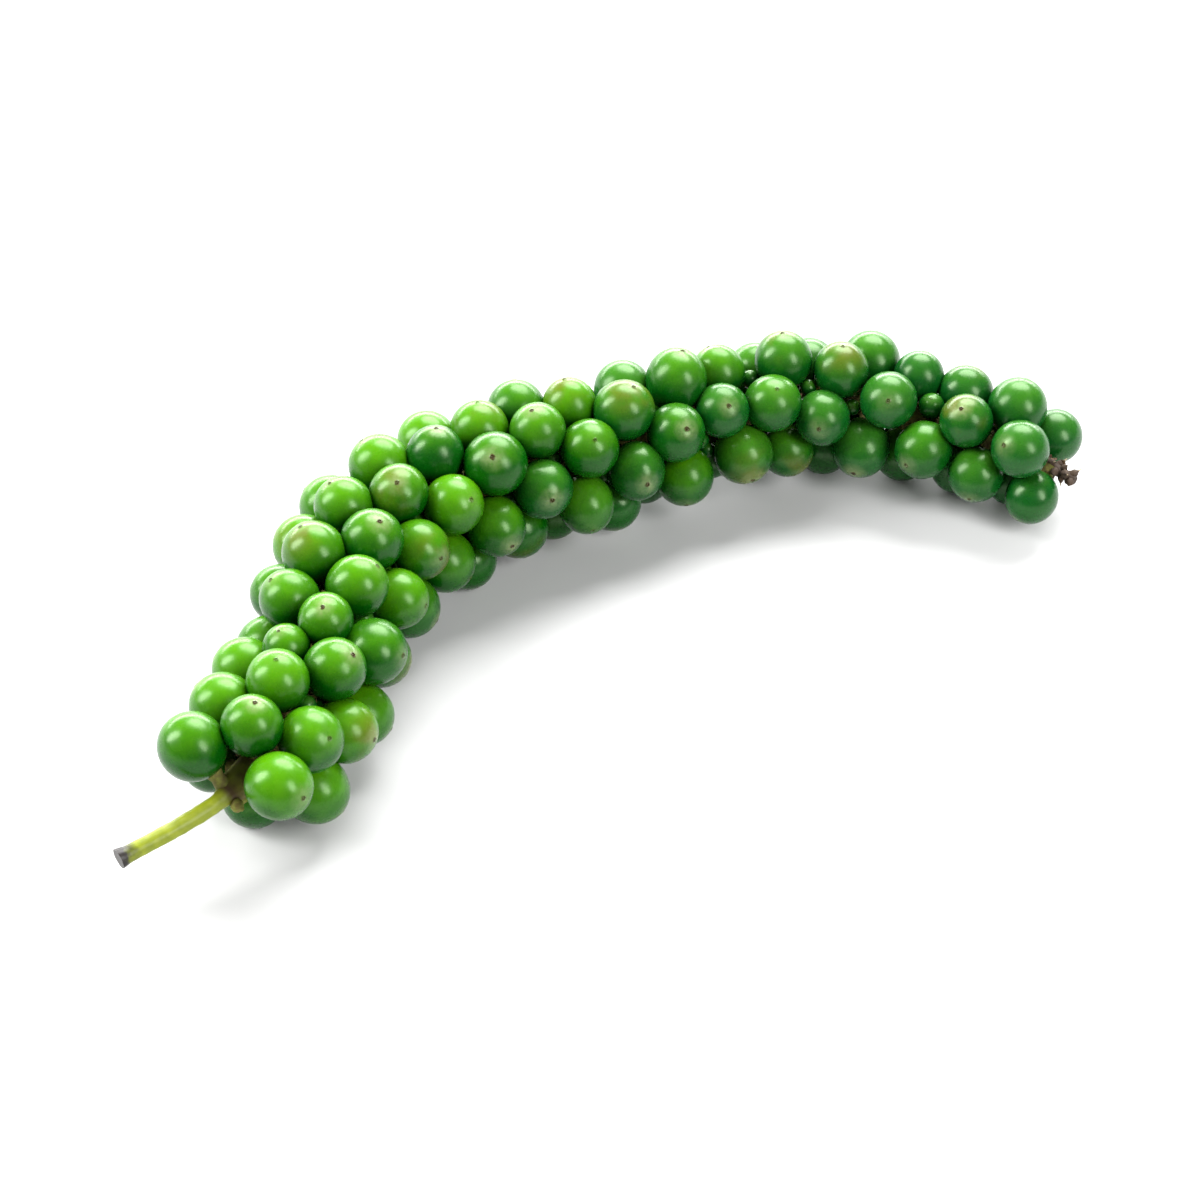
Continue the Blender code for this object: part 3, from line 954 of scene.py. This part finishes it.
# Stage, lights and camera.
TARGET = Vector((5.5, -10.32, 7.0)) * MM
CAMERA_DISTANCE = 300 * MM
CAMERA_ELEVATION = math.radians(45)
PHOTO_FOCAL = 2370.0
PHOTO_SPAN = 830.0
AIM_PIXEL = (537.0, 548.0)
PHOTO_CENTRE = (600.0, 600.0)
SENSOR = 36.0
CLIP_START = 10 * MM
CLIP_END = 20.0


def make_camera():
    """Looks down at 45 degrees, as the photo does, and crops in on the sprig."""
    back = Vector((0, -math.cos(CAMERA_ELEVATION), math.sin(CAMERA_ELEVATION)))
    up = Vector((0, math.sin(CAMERA_ELEVATION), math.cos(CAMERA_ELEVATION)))
    right_share = (AIM_PIXEL[0] - PHOTO_CENTRE[0]) / PHOTO_FOCAL
    down_share = (AIM_PIXEL[1] - PHOTO_CENTRE[1]) / PHOTO_FOCAL
    aim = -back + Vector((1, 0, 0)) * right_share - up * down_share
    bpy.ops.object.camera_add(location=TARGET + back * CAMERA_DISTANCE)
    camera = bpy.context.object
    camera.rotation_mode = "QUATERNION"
    camera.rotation_quaternion = aim.to_track_quat("-Z", "Y")
    camera.data.sensor_width = SENSOR
    camera.data.lens = SENSOR * PHOTO_FOCAL / PHOTO_SPAN
    camera.data.clip_start = CLIP_START
    camera.data.clip_end = CLIP_END
    bpy.context.scene.camera = camera


# Each soft light: name, direction it comes from, distance, width, height and power.
LIGHTS = (
    ("top_back", (0.13, 0.66, 0.74), 0.60, 0.54, 0.40, 9.2),
    ("tall_left", (-0.83, 0.02, 0.56), 0.60, 0.23, 0.50, 5.9),
    ("tall_right", (0.66, -0.49, 0.57), 0.60, 0.24, 0.42, 3.6),
    ("low_back", (-0.15, 0.96, 0.20), 0.70, 1.70, 0.16, 11.5),
)
WORLD_STRENGTH = 0.26
TABLE_WHITE = (0.56, 0.56, 0.56, 1.0)
TABLE_SIZE = 6.0
TABLE_ROUGHNESS = 0.9


def make_stage():
    """A white table, four soft lights and a pale surround."""
    bpy.ops.mesh.primitive_plane_add(size=TABLE_SIZE)
    table = bpy.context.object
    table.name = "table"
    paper = Shading("table_paper", Roughness=TABLE_ROUGHNESS, Base_Color=TABLE_WHITE)
    table.data.materials.append(paper.material)
    for name, direction, distance, width, height, power in LIGHTS:
        towards = Vector(direction).normalized()
        bpy.ops.object.light_add(type="AREA", location=TARGET + towards * distance)
        light = bpy.context.object
        light.name = name
        light.rotation_mode = "QUATERNION"
        light.rotation_quaternion = (-towards).to_track_quat("-Z", "Y")
        light.data.shape = "ELLIPSE"
        light.data.size = width
        light.data.size_y = height
        light.data.energy = power
    world = bpy.data.worlds.new("studio")
    world.use_nodes = True
    world.node_tree.nodes["Background"].inputs["Color"].default_value = (1, 1, 1, 1)
    world.node_tree.nodes["Background"].inputs["Strength"].default_value = WORLD_STRENGTH
    bpy.context.scene.world = world
    bpy.context.scene.view_settings.view_transform = "Standard"


def main():
    make_camera()
    make_stage()
    line, along, centre, radius, foot, fruitlets = grow_sprig()
    outward = centre - line[foot]
    outward /= np.linalg.norm(outward, axis=1)[:, None]
    share = (along[foot] - FRUIT_FROM) / (along[-1] - FRUIT_FROM)
    skin = berry_skin()
    make_berries(centre, radius, outward, share, skin)
    seat_skin = dry_skin("cushion_skin", *CUSHION_COLOURS)
    make_stunted_berries(find_room(line, along, centre, radius), skin, seat_skin)
    make_stem(line, along, stem_skin())
    make_cushions(line, foot, centre, radius, outward, seat_skin)
    make_fruitlets(line, fruitlets, dry_skin("fruitlet_skin", *FRUITLET_COLOURS))
    make_bracts(line, along, dry_skin("bract_skin", *BRACT_COLOURS))
    tip_skin, stigma_skin = dry_skin("tip_skin", *TIP_COLOURS), dry_skin("stigma_skin", *STIGMA_COLOURS)
    make_tip(line, along, tip_skin, stigma_skin)


main()
